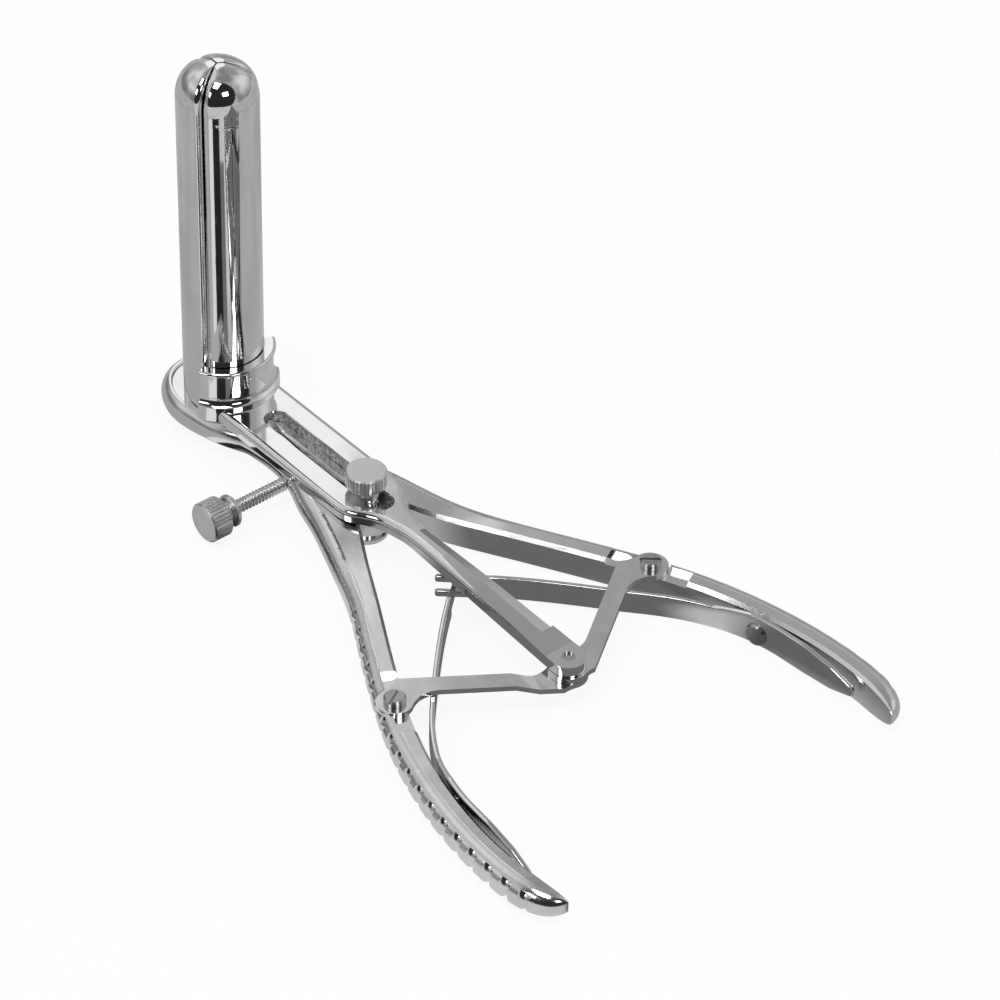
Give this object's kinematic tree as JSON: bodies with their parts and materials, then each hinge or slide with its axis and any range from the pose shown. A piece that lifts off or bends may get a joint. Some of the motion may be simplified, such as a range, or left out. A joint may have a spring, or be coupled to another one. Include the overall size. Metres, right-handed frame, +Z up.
{
  "type": "three-prong rectal speculum",
  "caption": "Hand-held rectal speculum: two pivoted handles spread the side prongs of a domed tube, links draw a slotted slide with the middle prong, screws lock it.",
  "frame": {"origin": "centre of the flat underside of the pivot nut, on the pivot axis", "axes": "+X along the slide from the prongs to the handles, +Z up along the prongs, +Y towards the handle without a set screw"},
  "size_m": [0.1891, 0.105, 0.0973],
  "materials": {
    "polished_steel": "mirror-polished stainless steel",
    "prong_steel": "mirror-polished stainless steel",
    "brushed_steel": "satin stainless steel",
    "knurled_steel": "satin stainless steel, straight knurl",
    "thread_steel": "threaded stainless steel",
    "screw_steel": "fine-ground stainless steel",
    "spring_steel": "ground spring steel"
  },
  "bodies": {
    "pivot": {"pivot_post": "brushed_steel", "pivot_nut": "polished_steel"},
    "left_lever": {"left_arm": "polished_steel", "left_prong": "prong_steel", "left_link_screw": "screw_steel", "left_spring": "spring_steel", "left_spring_screw": "screw_steel"},
    "right_lever": {"right_arm": "polished_steel", "right_prong": "prong_steel", "right_link_screw": "screw_steel", "right_spring": "spring_steel", "right_spring_screw": "screw_steel"},
    "slide": {"slide_bar": "polished_steel", "centre_prong": "prong_steel", "prong_socket": "polished_steel", "link_rivet": "screw_steel"},
    "left_strap": {"left_link": "polished_steel", "rivet_tail": "screw_steel"},
    "right_strap": {"right_link": "polished_steel"},
    "thumb_head": {"thumb_screw_head": "knurled_steel"},
    "thumb_rod": {"thumb_screw_rod": "thread_steel"},
    "set_head": {"set_screw_head": "knurled_steel"},
    "set_rod": {"set_screw_rod": "thread_steel"}
  },
  "joints": [
    {"name": "left_lever_pivot", "type": "hinge", "parent": "pivot", "child": "left_lever", "pos_m": [0, 0, 0.006], "axis": [0, 0, 1], "range_deg": [0, 19.5], "stiffness_Nm_per_rad": 1.5, "springref_deg": -2.86, "deforming": ["left_spring"]},
    {"name": "right_lever_pivot", "type": "hinge", "parent": "pivot", "child": "right_lever", "pos_m": [0, 0, 0.006], "axis": [0, 0, 1], "range_deg": [-19.6, 0], "deforming": ["right_spring"]},
    {"name": "slide_travel", "type": "slide", "parent": "pivot", "child": "slide", "axis": [1, 0, 0], "range_m": [0, 0.02983]},
    {"name": "left_link_pivot", "type": "hinge", "parent": "left_lever", "child": "left_strap", "pos_m": [0.05433, -0.03569, 0.007], "axis": [0, 0, 1], "range_deg": [-64.2, 0]},
    {"name": "right_link_pivot", "type": "hinge", "parent": "right_lever", "child": "right_strap", "pos_m": [0.05433, 0.03569, 0.007], "axis": [0, 0, 1], "range_deg": [0, 64.2]},
    {"name": "thumb_screw_turn", "type": "hinge", "parent": "thumb_rod", "child": "thumb_head", "pos_m": [0, 0, 0.0155], "axis": [0, 0, -1], "range_deg": [-1549, 829]},
    {"name": "thumb_screw_feed", "type": "slide", "parent": "pivot", "child": "thumb_rod", "axis": [0, 0, -1], "range_m": [-0.00301, 0.00161]},
    {"name": "set_screw_turn", "type": "hinge", "parent": "set_rod", "child": "set_head", "pos_m": [-0.0195, -0.025, 0.00545], "axis": [0, -1, 0], "range_deg": [0, 2405]},
    {"name": "set_screw_feed", "type": "slide", "parent": "left_lever", "child": "set_rod", "axis": [0, -1, 0], "range_m": [0, 0.00601]}
  ],
  "couplings": [
    {"joint": "right_lever_pivot", "follows": "left_lever_pivot", "ratio": -1},
    {"joint": "slide_travel", "follows": "left_lever_pivot", "m_per_rad": 0.087418},
    {"joint": "left_link_pivot", "follows": "left_lever_pivot", "ratio": -3.2833},
    {"joint": "right_link_pivot", "follows": "left_lever_pivot", "ratio": 3.2833},
    {"joint": "thumb_screw_turn", "follows": "thumb_screw_feed", "rad_per_m": 8976},
    {"joint": "set_screw_turn", "follows": "set_screw_feed", "rad_per_m": 6981.3}
  ]
}
